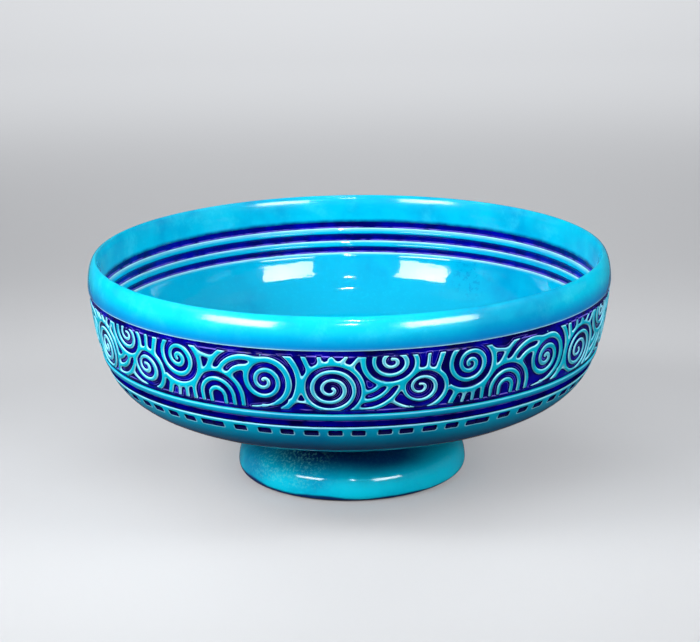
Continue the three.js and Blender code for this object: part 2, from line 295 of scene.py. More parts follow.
def lay_painted_shade(finish, painted_shades, ragged, outer_from):
    """Each painted shade is the heights where it starts and ends, how strong it is, its colour, and
    how much is left at the dish's sides: a darker blue where a part turns down or lies under the
    bowl. Ragged is how far slow noise moves the heights. None falls nearer the axis than outer_from."""
    level = finish.height + (finish.slow - 0.5) * ragged
    outside = finish.reach.ramp(outer_from, outer_from + 2 * mm)
    for start, end, share, pool_and_shade, left in painted_shades:
        # Below 1, left keeps the shade strongest in front of the dish, as a painted shadow of the bowl.
        middle = 1 - finish.x.maths("ABSOLUTE").ramp(22 * mm, 60 * mm) * (1 - left)
        finish.lay(level.ramp(start, end) * share * middle * outside, pool_and_shade)


# %% Turquoise glaze: flecks, frost and edges
def lay_flecks(finish, radius, top, bottom):
    """Deeper glaze in the well, and a cloud of dark flecks on one side of it."""
    inner = (1 - finish.reach.ramp(radius, radius + 0.6 * mm)) * finish.height.ramp(top, bottom)
    stain = finish.distance(stain_place).ramp(17 * mm, 6 * mm)
    specks = finish.noise(stain_scale, 3, 0.7).ramp(0.54, 0.62) * stain
    finish.lay(inner * (0.15 + finish.slow * 0.3) + specks * 0.4, deep_turquoise)


def lay_frost(finish, place):
    """Pale grains, many of them near a place."""
    near = finish.distance(place).ramp(34 * mm, 10 * mm)
    frost = finish.noise(frost_scale, 4, 0.7).ramp(0.48, 0.62) * (0.02 + near * 0.24)
    finish.lay(frost * (1 - finish.height.ramp(9 * mm, 5 * mm)), frost_turquoise)


def edge_masks(finish, edge_band):
    """Where the glaze runs thin, and where cobalt was brushed on it. A relief or a cut piece
    has its edge's distance as an attribute, and edge_band is how pale its glaze is there."""
    thin, enamel = finish.attribute("thin"), finish.attribute("enamel")
    if edge_band is None:
        brushed = enamel + (finish.noise(wave_scale, 3) - 0.5) * 0.5 * enamel
        return thin, brushed.ramp(0.25, 0.75)
    edge = finish.attribute("edge")
    band = edge.ramp(-0.55, -0.32) * (1 - edge.ramp(-0.14, 0.02))
    broken = 0.25 + finish.noise(brush_scale, 2).ramp(0.35, 0.6) * 0.75
    return thin + band * broken * edge_band, edge.ramp(-0.1, 0.0)


# %% Turquoise glaze: the whole recipe
def turquoise_glaze(name, roughness=0.08, specular=0.3, full=full_turquoise, pale=pale_edge,
                    cobalt=deep_cobalt, cloud=1.0, speckle=0.0, painted_shades=(), ragged=0.0,
                    outer_from=0.0, uneven=0.22, dull_above=None, well=None, frosted=None,
                    edge_band=None, matt_cuts=False, bare_below=None):
    """From the heights in dull_above on, the glaze is mottled and a little duller. Matt cuts
    are dull where cobalt covers them. Below bare_below the clay was wiped clean."""
    finish = Finish(name, roughness, specular)
    dullness = roughness
    lay_clouds(finish, full, cloud, speckle)
    if dull_above:
        slick = finish.height.ramp(*dull_above)
        mottle = finish.noise(mottle_scale, 6, 0.7).ramp(0.5, 0.72) * slick
        finish.lay(mottle * 0.16, mottled_turquoise)
        dullness = slick * 0.08 + dullness
    lay_painted_shade(finish, painted_shades, ragged, outer_from)
    if well:
        lay_flecks(finish, *well)
    if frosted:
        lay_frost(finish, frosted)
    thin, enamel = edge_masks(finish, edge_band)
    patchy = 0.62 + finish.noise(patch_scale, 3) * 0.7
    finish.lay((thin * patchy).clamped(), pale)
    finish.lay(enamel, cobalt)
    if bare_below:
        wiped = finish.height + finish.noise(wipe_scale, 3) * (0.8 * mm)
        bare = wiped.ramp(bare_below + 0.5 * mm, bare_below)
        finish.lay(bare, biscuit)
        dullness = bare * 0.65 + dullness
    if matt_cuts:
        dullness = enamel * 0.6 + dullness
    if isinstance(dullness, Term):
        finish.feed("Roughness", dullness)
    finish.feed("Base Color", finish.colour)
    finish.bump(finish.noise(wave_scale, 3, 0.55), uneven, 0.25 * mm)
    return finish.material


# %% [markdown]
# Cobalt enamel is a blue that was painted into the sunk parts. It is nearly black where it
# pools, and violet where the brush left it thin. On the frieze's ground it also has the thin
# lines of its borders, a few scratches, and blue runs under the scrolls.

# %% Cobalt enamel
def cobalt_enamel(name, deep, full, drawn=False, roughness=0.12, specular=0.1):
    finish = Finish(name, roughness, specular)
    pool_and_shade = finish.noise(70, 3)
    finish.colour = finish.blend(pool_and_shade.ramp(0.35, 0.7), deep, full)
    thin = finish.attribute("thin") * (0.1 + finish.noise(130, 3) * 1.5).ramp(0.55, 1.0)
    if drawn:
        edge, border, run = (finish.attribute(label) for label in ("edge", "border", "run"))
        finish.lay(edge.ramp(1.0, 0.4) * 0.9, edge_cobalt)
        finish.lay((run * (0.3 + pool_and_shade)).clamped(), blue_run)
        line = border.ramp(0.42, 0.2) * finish.noise(55, 2).ramp(0.47, 0.53)
        scratch = (edge - 0.85).maths("ABSOLUTE").ramp(0.16, 0.05) * finish.noise(90, 2).ramp(0.5, 0.62)
        thin = thin + line * (0.55 + pool_and_shade * 0.6) + scratch * 0.4
    finish.lay(thin.clamped(), thin_cobalt)
    finish.feed("Base Color", finish.colour)
    finish.bump(finish.noise(260, 3, 0.55), 0.25, 0.2 * mm)
    return finish.material


# %% Finishes of the dish's parts
# The outer rim darkens towards its underside: painted shade.
glaze = turquoise_glaze(
    "turquoise_glaze", cloud=0.9, speckle=0.3, roughness=0.05, specular=0.4, uneven=0.35,
    painted_shades=[(118 * mm, 107.5 * mm, 0.9, rim_underside_shade, 1)], outer_from=134 * mm,
    well=(133.2 * mm, 104 * mm, 101 * mm), cobalt=linear(0, 0, 104), dull_above=(105 * mm, 109 * mm))
# The ring darkens on its lower half, where it turns under: painted shade.
ring_glaze = turquoise_glaze(
    "turquoise_glaze_rings", roughness=0.15, specular=0.1, full=linear(0, 156, 182), pale=dull_edge,
    painted_shades=[(73.2 * mm, 71.4 * mm, 0.6, ring_underside_shade, 1)])
relief_glaze = turquoise_glaze(
    "turquoise_glaze_relief", edge_band=1.0, roughness=0.2, specular=0.1, full=linear(4, 156, 178),
    pale=dull_edge, cobalt=edge_cobalt)
# The belly darkens towards the foot: painted shade.
belly_glaze = turquoise_glaze(
    "turquoise_glaze_belly", cloud=0.9, edge_band=0.0, roughness=0.16, specular=0.04, pale=dull_edge,
    painted_shades=[(72 * mm, 46 * mm, 0.9, belly_painted_shade, 1)], matt_cuts=True)
# The collar darkens under the bowl, most in front and less at the sides: a painted shadow of the bowl.
foot_glaze = turquoise_glaze(
    "turquoise_glaze_foot", cloud=1.2, speckle=1.0, full=linear(2, 190, 221), bare_below=0.2 * mm,
    # The foot's roll darkens at its underside, just above the table: painted shade.
    painted_shades=[(9 * mm, 22 * mm, 0.97, collar_painted_shadow, 0.45), (4.2 * mm, 2.8 * mm, 0.95, foot_underside_shade, 1)],
    ragged=12 * mm, frosted=frost_place)
matt_enamel = cobalt_enamel("cobalt_enamel", deep_cobalt, full_cobalt, roughness=0.3, specular=0.0)
ground_enamel = cobalt_enamel("cobalt_enamel_ground", deep_cobalt, full_cobalt, drawn=True)
inner_enamel = cobalt_enamel("cobalt_enamel_inner", linear(0, 0, 84), linear(0, 3, 142))
finishes = (glaze, ring_glaze, relief_glaze, belly_glaze, foot_glaze, matt_enamel, ground_enamel,
            inner_enamel)
print("finishes", [finish.name for finish in finishes])

# %% [markdown]
# The potter's template. One curve gives the outer wall from under the rim to the seat on the
# foot, and everything on the wall is placed by its length down that curve, in millimetres.

# %% Wall curve
rim_height = 13.5
seat_radius = 46
wall_lean = 5.9
wall_fullness = 0.826
belly_fullness = 0.836
belly_rise = 0.131
wall_top = dish_height - rim_height
wall_rise = wall_top - seat_height
wall_points = 801


def bezier(corners, count):
    share = np.linspace(0, 1, count)[:, None]
    rest = 1 - share
    weights = (rest ** 3, 3 * rest ** 2 * share, 3 * rest * share ** 2, share ** 3)
    return sum(weight * np.array(corner) for weight, corner in zip(weights, corners))


wall_line = bezier([(bowl_radius, wall_top),
                    (bowl_radius - wall_lean, wall_top - wall_fullness * wall_rise),
                    (seat_radius + belly_fullness * (bowl_radius - seat_radius),
                     seat_height + belly_rise * wall_rise),
                    (seat_radius, seat_height)], wall_points)
wall_lengths = np.concatenate([[0], np.cumsum(np.hypot(*np.diff(wall_line, axis=0).T))])
wall_length = wall_lengths[-1]
wall_slope = np.gradient(wall_line, wall_lengths, axis=0)


def wall_point(down, lift=0.0):
    """(radius, height) at a length down the wall, moved outwards by lift."""
    radius, height, out, fall = (np.interp(down, wall_lengths, values)
                                 for values in (*wall_line.T, *wall_slope.T))
    return radius - fall * lift, height + out * lift


print("wall curve", round(float(wall_length), 1), "mm long")

# %% [markdown]
# A turned piece is drawn as half of its section. The corners of a section are listed with the
# radius of their rounding, and edges where the glaze runs thin are listed with their paleness.

# %% Section corners
arc_points = 6
longest_arc_share = 0.48


def rounded(corners):
    """A closed line through (radius, height, rounding) corners, with arcs at the rounded ones."""
    line = []
    count = len(corners)
    for index, (x, y, rounding) in enumerate(corners):
        here = np.array((x, y))
        before = np.array(corners[index - 1][:2]) - here
        after = np.array(corners[(index + 1) % count][:2]) - here
        reach = longest_arc_share * min(np.hypot(*before), np.hypot(*after))
        if rounding <= 0 or reach < 1e-6:
            line.append(here)
            continue
        before, after = before / np.hypot(*before), after / np.hypot(*after)
        half = math.acos(max(-1, min(1, float(before @ after)))) / 2
        reach = min(reach, rounding / math.tan(max(half, 0.05)))
        start, end = here + before * reach, here + after * reach
        for share in np.linspace(0, 1, arc_points):
            line.append((1 - share) ** 2 * start + 2 * share * (1 - share) * here + share ** 2 * end)
    return np.array(line)


# %% Section points and thin edges
def refined(line, step):
    """The same closed line, with no stretch longer than step."""
    points = []
    for start, end in zip(line, np.roll(line, -1, axis=0)):
        count = max(1, math.ceil(np.hypot(*(end - start)) / step))
        points.extend(start + (end - start) * share for share in np.arange(count) / count)
    points = np.array(points)
    apart = np.hypot(*(points - np.roll(points, 1, axis=0)).T) > 1e-4
    return points[apart]


def thinness(line, edges):
    """How thin the glaze is along a section: edges are (radius, height, paleness, width)."""
    thin = np.zeros(len(line))
    for radius, height, paleness, width in edges:
        distance = np.hypot(line[:, 0] - radius, line[:, 1] - height)
        thin = np.maximum(thin, paleness * np.exp(-(distance / width) ** 2))
    return thin


# %% [markdown]
# Two trees of Geometry Nodes make the pieces. Both have named inputs, and both end with smooth
# shading, instances made real, and the piece's finish on its faces.

# %% The start and end of a tree
def new_tree(name, inputs):
    tree = bpy.data.node_groups.new(name, "GeometryNodeTree")
    tree.interface.new_socket("Geometry", in_out="INPUT", socket_type="NodeSocketGeometry")
    for label, kind in inputs.items():
        tree.interface.new_socket(label, in_out="INPUT", socket_type="NodeSocket" + kind)
    tree.interface.new_socket("Geometry", in_out="OUTPUT", socket_type="NodeSocketGeometry")
    graph = Graph(tree)
    source = tree.nodes.new("NodeGroupInput")
    terms = {socket.name: Term(graph, socket) for socket in source.outputs if socket.name}
    return tree, graph, terms


def close_tree(graph, geometry, finish):
    smooth = graph.node("GeometryNodeSetShadeSmooth", None, {"Geometry": geometry})
    real = graph.node("GeometryNodeRealizeInstances", None, {"Geometry": smooth})
    done = graph.node("GeometryNodeSetMaterial", None, {"Geometry": real, "Material": finish})
    output = graph.tree.nodes.new("NodeGroupOutput")
    graph.tree.links.new(done.socket, output.inputs[0])
    print("tree", graph.tree.name, len(graph.tree.nodes), "nodes")


# %% [markdown]
# Turning a section into a piece is the wheel's work. A grid has one row for each point of the
# section and one column for each step round the axis, and each vertex is moved to its place.
# A slow wave in the radius keeps a little of the potter's hand.

# %% Turning tree
hand_scale = 1.3
hand_rise = 6
weld_distance = 2e-6

turning, graph, given = new_tree("turning", {
    "Section": "Object", "Steps": "Int", "Wave": "Float", "Finish": "Material"})
section = graph.node("GeometryNodeObjectInfo", None, {"Object": given["Section"]}, output=4)
rows = graph.node("GeometryNodeAttributeDomainSize", None, {"Geometry": section})
grid = graph.node("GeometryNodeMeshGrid", None, {
    "Size X": 1.0, "Size Y": 1.0, "Vertices X": given["Steps"] + 1, "Vertices Y": rows + 1})
index = graph.node("GeometryNodeInputIndex")
wrapped_row = index.maths("MODULO", rows + 1).maths("MODULO", rows)
column = (index / (rows + 1)).maths("FLOOR")
turn = column / given["Steps"] * (2 * math.pi)


def section_value(kind, value):
    """What the section has at the row of each vertex."""
    return graph.node("GeometryNodeSampleIndex", {"data_type": kind}, {
        "Geometry": section, "Value": value, "Index": wrapped_row})


point = section_value("FLOAT_VECTOR", graph.node("GeometryNodeInputPosition"))
radius, _, height = graph.parts(point)
around = graph.on_circle(1.0, turn, height * hand_rise)
wave = graph.node("ShaderNodeTexNoise", None, {
    "Vector": around, "Scale": hand_scale, "Detail": 1.0}) - 0.5
placed = graph.node("GeometryNodeSetPosition", None, {
    "Geometry": grid, "Position": graph.on_circle(radius * (1 + wave * given["Wave"]), turn, height)})
for name in ("thin", "enamel"):
    value = graph.node("GeometryNodeInputNamedAttribute", {"data_type": "FLOAT"}, {"Name": name})
    placed = graph.node("GeometryNodeStoreNamedAttribute", {"data_type": "FLOAT", "domain": "POINT"}, {
        "Geometry": placed, "Name": name, "Value": section_value("FLOAT", value)})
welded = graph.node("GeometryNodeMergeByDistance", None, {
    "Geometry": placed, "Distance": weld_distance})
close_tree(graph, welded, given["Finish"])

# %% [markdown]
# A tree runs as a modifier on an object. Its result is copied out as a plain mesh, and the
# modifier is taken off again, so what is handed over is finished geometry.

# %% From a tree to a piece
def mesh_object(name, vertices, edges, faces):
    mesh = bpy.data.meshes.new(name)
    mesh.from_pydata(vertices, edges, faces)
    made = bpy.data.objects.new(name, mesh)
    scene.collection.objects.link(made)
    return made


def store(mesh, name, values):
    mesh.attributes.new(name, "FLOAT", "POINT").data.foreach_set("value", np.asarray(values, np.float32))


def applied(holder, tree, values):
    """Runs a geometry tree on an object and keeps the result as a plain mesh."""
    modifier = holder.modifiers.new(tree.name, "NODES")
    modifier.node_group = tree
    sockets = {item.name: item.identifier for item in tree.interface.items_tree if item.in_out == "INPUT"}
    for name, value in values.items():
        modifier[sockets[name]] = value
    evaluated = holder.evaluated_get(bpy.context.evaluated_depsgraph_get())
    result = bpy.data.meshes.new_from_object(evaluated)
    holder.modifiers.remove(modifier)
    holder.data = result
    return holder


# %% Closed pieces, and turned ones
def outward(piece):
    """Turns a closed piece's faces outwards if its volume comes out negative."""
    mesh = piece.data
    mesh.calc_loop_triangles()
    corners = np.array([triangle.vertices[:] for triangle in mesh.loop_triangles])
    places = np.array([vertex.co[:] for vertex in mesh.vertices])
    first, second, third = (places[corners[:, k]] for k in range(3))
    if np.einsum("ij,ij->i", first, np.cross(second, third)).sum() < 0:
        mesh.flip_normals()


crease_angle = math.radians(60)


def turned(name, corners, steps, finish, replaces, edges=(), step=1.2, wave=0.0012, enamel=()):
    """Turns a section's corners into a piece. Edges are where its glaze is thin, and enamel is
    where cobalt was brushed over it."""
    line = refined(rounded(corners), step)
    section = mesh_object(name + "_section", [(x * mm, 0, y * mm) for x, y in line], [], [])
    store(section.data, "thin", thinness(line, edges))
    store(section.data, "enamel", thinness(line, enamel))
    piece = applied(mesh_object(name, [], [], []), turning, {
        "Section": section, "Steps": steps, "Wave": wave, "Finish": finish})
    bpy.data.objects.remove(section)
    outward(piece)
    piece.data.set_sharp_from_angle(angle=crease_angle)
    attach(piece, "root")
    if replaces:
        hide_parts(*replaces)
    print(name, len(piece.data.vertices), "vertices")


# %% [markdown]
# Lengths down the wall, heights and depths, all in millimetres. The frieze lies in a shallow
# recess. Under it come a ring, a groove and the belly.

# %% Measures of the bowl
frieze_top = 2.5
frieze_bottom = 36.1
ring_bottom = 40.1
groove_bottom = 43.8
recess_depth = 1.6
ground_lift = -0.95
hidden_lift = -2.4
wall_thickness = 6.6
floor_thickness = 8.4
under_floor = seat_height + 2.2
crest = (bowl_radius - 4.5, dish_height)
inner_grooves = [(106.7, 103.0), (98.7, 95.3), (91.0, 88.2)]
groove_depth = 1.2
ridge_swell = 0.35
well_edge = inner_grooves[-1][1]
print("frieze", round(frieze_bottom - frieze_top, 1), "mm wide")


# %% Lines of the bowl
def inner_radius(height):
    return float(wall_point(wall_top - height)[0]) - wall_thickness


def quarter(start, end, count):
    """A quarter of an ellipse that leaves its start upright and reaches its end level."""
    turns = np.linspace(0, math.pi / 2, count + 1)
    return [(end[0] + (start[0] - end[0]) * math.cos(turn),
             start[1] + (end[1] - start[1]) * math.sin(turn), 0) for turn in turns]


def on_wall(down, lift=0.0, rounding=0.0):
    """A corner of a section, at a length down the wall."""
    radius, height = wall_point(down, lift)
    return float(radius), float(height), rounding


def edge_on_wall(down, lift, strength, width):
    """An edge of a section where the glaze is thin or painted over."""
    return (*on_wall(down, lift)[:2], strength, width)


def well_line(count=26):
    """From under the last groove to the axis, at the thickness of the wall."""
    start, end = wall_top - well_edge + 2.5, wall_length - seat_radius / 2
    downs = np.linspace(start, end, count)
    thickness = wall_thickness + (floor_thickness - wall_thickness) * (downs / wall_length) ** 2
    radii, heights = wall_point(downs, -thickness)
    floor = seat_height + floor_thickness
    level = np.linspace(radii[-1], 0, 10)[1:]
    eased = floor + (heights[-1] - floor) * (level / radii[-1]) ** 2
    return [(float(x), float(y), 0) for x, y in zip([*radii, *level], [*heights, *eased])]


# %% [markdown]
# The bowl's section. The rim is a fat rounded roll. Inside, below a smooth band, three grooves
# were turned into the wall, and the well under them runs down in one sweep to the middle.
# The outside is set back, because the frieze, the rings and the belly are pieces of their own.

# %% Bowl: rim, inner grooves and well
setback = np.linspace(wall_length - 12, frieze_top + 1.4, 14)
recess_edge = frieze_top + 0.3
bowl_corners = [
    (0, under_floor, 0), (seat_radius - 8, under_floor, 0),
    *(on_wall(down, hidden_lift) for down in setback), on_wall(recess_edge, hidden_lift),
    on_wall(recess_edge, ground_lift, 0.3), on_wall(frieze_top - 0.05, 0.0, 0.5),
    on_wall(frieze_top - 0.75), *quarter(on_wall(0.6)[:2], crest, 14),
    *quarter((inner_radius(wall_top), wall_top + 2), crest, 12)[::-1][1:]]
pale_edges = [edge_on_wall(frieze_top - 0.1, 0.0, 0.85, 0.36)]
cobalt_edges = [edge_on_wall(recess_edge, -0.9, 0.9, 0.5)]
for number, (top, bottom) in enumerate(inner_grooves):
    face = inner_radius(top)
    back = face + groove_depth + 0.4
    if number:
        ridge_middle = (top + inner_grooves[number - 1][1]) / 2
        bowl_corners += [(inner_radius(ridge_middle) - ridge_swell, ridge_middle, 1.6)]
    bowl_corners += [(face, top, 0.55), (back, top + 0.1, 0), (back, bottom - 0.1, 0), (face, bottom, 0.75)]
    pale_edges += [(face, bottom, 1.0, 0.48)]
    cobalt_edges += [(face, top + 0.3, 1.0, 0.95)] if number else [(face, top + 0.2, 0.62, 2.5)]
bowl_corners += well_line()
turned("bowl_with_well", bowl_corners, 264, glaze, ["bowl_body"],
       pale_edges, step=1.5, enamel=cobalt_edges)

# %% [markdown]
# The cobalt in the inner grooves lies as a shallow channel: enamel creeps up both sides of a
# groove and sags in the middle. Each groove's filling is a closed ring of its own.

# %% Inner groove enamel
for number, (top, bottom) in enumerate(inner_grooves, 1):
    floor = inner_radius(top) + groove_depth
    high, low = top - 0.02, bottom + 0.02
    turned(f"inner_groove_enamel_{number}_fill", [
        (floor - 0.5, high, 0.1), (floor - 0.1, top - 0.45, 0.4), (floor, (top + bottom) / 2, 0),
        (floor - 0.1, bottom + 0.45, 0.4), (floor - 0.5, low, 0.1), (floor + 0.45, low, 0),
        (floor + 0.45, high, 0)],
        240, inner_enamel, [f"inner_groove_enamel_{number}"],
        [(floor - 0.15, bottom + 0.35, 0.8, 0.3)], step=0.4)

# %% [markdown]
# Two turned rings frame the groove under the frieze. The upper one is a piece of its own, and the
# lower one is the top edge of the belly. Their upper edges are where the glaze runs off.

# %% Upper ring and outer groove enamel
ring_edge = frieze_bottom + 0.9
turned("upper_ring", [
    on_wall(frieze_bottom - 0.3, -1.9), on_wall(frieze_bottom - 0.3, -1.1, 0.3),
    on_wall(frieze_bottom + 0.3, -0.8, 0.4), on_wall(ring_edge - 0.1, 0.0, 0.45),
    on_wall((frieze_bottom + ring_bottom) / 2 + 0.3, 0.1), on_wall(ring_bottom - 0.6, 0.0, 0.5),
    on_wall(ring_bottom, -0.4, 0.4), on_wall(ring_bottom, -1.9)],
    360, ring_glaze, None, [edge_on_wall(ring_edge, 0.0, 0.6, 0.2)], step=0.3,
    enamel=[edge_on_wall(frieze_bottom, -0.95, 1.0, 0.6), edge_on_wall(ring_bottom, -0.5, 0.8, 0.5)])

turned("outer_groove_enamel_fill", [
    on_wall(ring_bottom - 0.1, -1.75), on_wall(ring_bottom - 0.1, -0.8, 0.3),
    on_wall(ring_bottom + 0.8, -0.85, 0.3), on_wall(ring_bottom + 1.3, -1.15, 0.5),
    on_wall(groove_bottom - 0.5, -1.2, 0.4), on_wall(groove_bottom + 0.2, -1.0),
    on_wall(groove_bottom + 0.2, -1.75)],
    360, matt_enamel, ["outer_groove_enamel"],
    [edge_on_wall(ring_bottom + 0.9, -0.9, 0.8, 0.28)], step=0.3)

# %% [markdown]
# Everything cut by hand on the wall is drawn flat first: x runs round the wall and down runs
# along its curve, both in millimetres. A second tree bends such a sheet onto the wall, as a
# potter lays a strip of clay round a bowl.

# %% Bending tree
pattern_radius = bowl_radius - recess_depth
repeats = 6
repeat_width = 2 * math.pi * pattern_radius / repeats
front_turn = math.radians(-93.7)
print("one repeat of the frieze is", round(repeat_width, 1), "mm long")

bending, graph, given = new_tree("bending", {
    "Wall": "Object", "Radius": "Float", "Turn": "Float", "Finish": "Material"})
wall = graph.node("GeometryNodeObjectInfo", None, {"Object": given["Wall"]}, output=4)
flat_x, down, lift = graph.parts(graph.node("GeometryNodeInputPosition"))


def along_wall(output):
    """The wall curve's place (output 1) or direction (output 2) at the length down."""
    return graph.parts(graph.node("GeometryNodeSampleCurve", {"mode": "LENGTH", "use_all_curves": True}, {
        "Curves": wall, "Length": down}, output))


radius, _, height = along_wall(1)
out, _, fall = along_wall(2)
angle = flat_x / given["Radius"] + given["Turn"]
bent = graph.node("GeometryNodeSetPosition", None, {
    "Geometry": given["Geometry"],
    "Position": graph.on_circle(radius - fall * lift, angle, height + out * lift)})
close_tree(graph, bent, given["Finish"])

# %% The wall curve, and sheets bent onto it
wall_curve = bpy.data.curves.new("wall_line", "CURVE")
wall_curve.dimensions = "3D"
spline = wall_curve.splines.new("POLY")
spline.points.add(len(wall_line) - 1)
spline.points.foreach_set("co", [value for x, y in wall_line for value in (x * mm, 0, y * mm, 1)])
wall_object = bpy.data.objects.new("wall_line", wall_curve)
scene.collection.objects.link(wall_object)


def crease_walls(mesh, faces):
    """Marks the edges of a sheet's side walls sharp, so that its front is shaded by itself."""
    half = len(mesh.vertices) // 2
    walls = (faces.min(axis=1) < half) & (faces.max(axis=1) >= half)
    edges = np.zeros(len(mesh.loops), np.int32)
    mesh.loops.foreach_get("edge_index", edges)
    sharp = np.zeros(len(mesh.edges), bool)
    sharp[edges.reshape(-1, 4)[walls]] = True
    mesh.edges.foreach_set("use_edge_sharp", sharp)


def bent_sheet(name, places, faces, attributes, finish, slot, replaces):
    """Bends a flat sheet, given in millimetres, onto the wall and hands it over."""
    sheet = mesh_object(name, [tuple(place) for place in places * mm], [], faces.tolist())
    for label, values in attributes.items():
        store(sheet.data, label, values)
    applied(sheet, bending, {
        "Wall": wall_object, "Radius": pattern_radius * mm, "Turn": front_turn, "Finish": finish})
    outward(sheet)
    crease_walls(sheet.data, faces)
    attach(sheet, "root")
    if replaces:
        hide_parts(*replaces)
    return sheet


# %% [markdown]
# A hand never repeats itself exactly. A few sine waves, fixed by a seed, bend the drawn lines by
# a few tenths of a millimetre, and they run round the dish without a break.

# %% Wandering of the hand
random = np.random.default_rng(7)
wave_count = 24
kinds_apart = 40
wave_vectors = random.normal(size=(wave_count, 3))
wave_phases = random.uniform(0, 2 * math.pi, wave_count)


def wander(x, down, size, kind):
    """A smooth, unit-sized random value at a place on the wall, with features of a given size."""
    angle = x / pattern_radius
    across, deep = pattern_radius * np.cos(angle), pattern_radius * np.sin(angle)
    low = down + kinds_apart * kind
    total = np.zeros_like(x)
    for (first, second, third), phase in zip(wave_vectors, wave_phases):
        total += np.sin((first * across + second * deep + third * low) / size + phase)
    return total / math.sqrt(wave_count / 2)


print("waves in the hand:", wave_count)


# %% [markdown]
# The frieze's motifs, from the front one back: scrolls that wind inwards, an arch of three hoops,
# two fans of nested arcs, and short rays that fill what is left. Each is a centre (in degrees
# round from the large scroll, and millimetres down the wall), radii, angles and a line's width.

# %% Motifs of the frieze
border_top = 5.75
border_bottom = 33.7
degree = repeat_width / (360 / repeats)
far = 99.0
laid_off = (0.0, 1.0, -0.5, 0.6, 0.4, -1.9)
scroll_tip = 1.1

large_scroll = dict(at=(-0.3, 22.2), drift=(0, 0.1), radius=15.9, laps=3.25, start=298,
                    bend=0.95, stretch=1.04, width=(2.3, 1.6))
high_scroll = dict(at=(28.2, 12.75), drift=(0.2, 0), radius=15.3, laps=2.95, start=226,
                   bend=1.28, stretch=1.015, width=(2.5, 2.2))
cut_scroll = dict(at=(12.0, 8.1), drift=(0.1, -0.8), radius=13.6, laps=2.9, start=139,
                  bend=1.14, stretch=1.09, width=(2.7, 1.4))
small_scroll = dict(at=(17.6, 22.0), drift=(1.9, -0.7), radius=12.8, laps=2.6, start=239,
                    bend=1.1, stretch=1.05, width=(2.4, 1.6))
last_scroll = dict(at=(48.0, 19.1), drift=(0.3, 0.8), radius=13.7, laps=2.6, start=261,
                   bend=1.16, stretch=1.0, width=(2.9, 1.6), taper=0.11)
arch = dict(at=(37.3, 29.4), radii=(4.1, 9.0, 14.0), width=2.2)
fans = [
    dict(at=(6.2, 13.4), radii=(10.3, 15.0, 19.9), sector=(215, 30), width=2.1),
    dict(at=(43.9, 21.8), radii=(9.4, 14.8, 20.4), sector=(60, 205), width=2.8),
    dict(at=(47.8, 18.1), radii=(18.1,), sector=(298, 66), width=2.9),
    dict(at=(16.7, 16.5), radii=(16.9,), sector=(226, 285), width=1.7),
]
rays = [
    ((-5.5, 5.2), (-4.4, 12.3), 2.5), ((-2.4, 5.4), (-2.1, 9.5), 1.9), ((0.0, 6.4), (0.3, 9.5), 2.7),
    ((2.8, 5.4), (1.8, 8.8), 1.6), ((5.4, 5.6), (3.9, 10.3), 1.8), ((19.3, 5.4), (19.0, 12.5), 2.1),
    ((22.1, 5.4), (21.1, 13.0), 2.8), ((25.6, 26.5), (24.3, 33.5), 2.4), ((27.6, 27.5), (27.0, 33.6), 1.6),
    ((29.5, 26.5), (29.3, 33.4), 1.9), ((36.6, 9.2), (33.6, 8.0), 1.9), ((53.3, 29.0), (57.0, 29.6), 1.2),
    ((48.0, 32.1), (45.0, 33.3), 0.9),
]
print("a repeat has", len(fans), "fans and", len(rays), "rays")

# %% [markdown]
# Each kind of motif is a field. For every place on the wall it gives the distance to the motif's
# nearest line and that line's width, and it tells whether the place is inside the motif, where
# the motif covers those laid down before it.

# %% Fields of the scrolls
def polar(x, down, at, stretch=1.0, drift=(0, 0), radius=1.0):
    """Distance and angle of places from a motif's centre, with angles counted from the right.
    The centre drifts with the distance from it, and a stretch makes the motif wider than high."""
    across = (x - at[0] * degree) / stretch
    rise = (at[1] - down) * stretch
    share = np.clip(np.hypot(across, rise) / radius, 0, 1)
    across, rise = across - drift[0] * share, rise - drift[1] * share
    return np.hypot(across, rise), np.degrees(np.arctan2(rise, across)) % 360


def within(turns, sector):
    low, high = sector
    return (turns - low) % 360 <= (high - low) % 360


def nearer(first, second):
    """Of two (distance, width) fields, the one whose line's edge is nearer at each place."""
    closer = second[0] - second[1] / 2 < first[0] - first[1] / 2
    return tuple(np.where(closer, b, a) for a, b in zip(first, second))


def scroll_field(x, down, at, drift, radius, laps, start, bend, stretch, width, taper=0.001):
    """Distance to a scroll's line and the line's width, and whether a place is inside its turns.
    Over the first laps, as many as taper, the line grows to its full width."""
    reach, turns = polar(x, down, at, stretch, drift, radius)
    first = ((turns - start) % 360) / 360

    def coil(lap):
        return scroll_tip + (radius - scroll_tip) * np.clip(1 - lap / laps, 0, 1) ** bend

    def breadth(lap):
        full = width[0] + (width[1] - width[0]) * np.clip(lap / laps, 0, 1) ** 0.8
        return full * np.clip(lap / taper, 0.35, 1)

    field = far, width[0]
    for lap in range(math.ceil(laps) + 1):
        here = np.where(first + lap <= laps, np.abs(reach - coil(first + lap)), far)
        field = nearer(field, (here, breadth(first + lap)))
    angle = math.radians(start + 360 * laps)
    end_x = at[0] * degree + scroll_tip * math.cos(angle)
    end_down = at[1] - scroll_tip * math.sin(angle)
    field = nearer(field, (np.hypot(x - end_x, down - end_down), width[1]))
    return field, reach < coil(first)


# %% Fields of the arch, the fans and the rays
def arch_field(x, down, at, radii, width):
    """Round hoops whose sides run straight down."""
    reach = np.hypot(x - at[0] * degree, np.maximum(at[1] - down, 0))
    nearest = np.min([np.abs(reach - radius) for radius in radii], axis=0)
    return (nearest, width), reach < radii[-1]


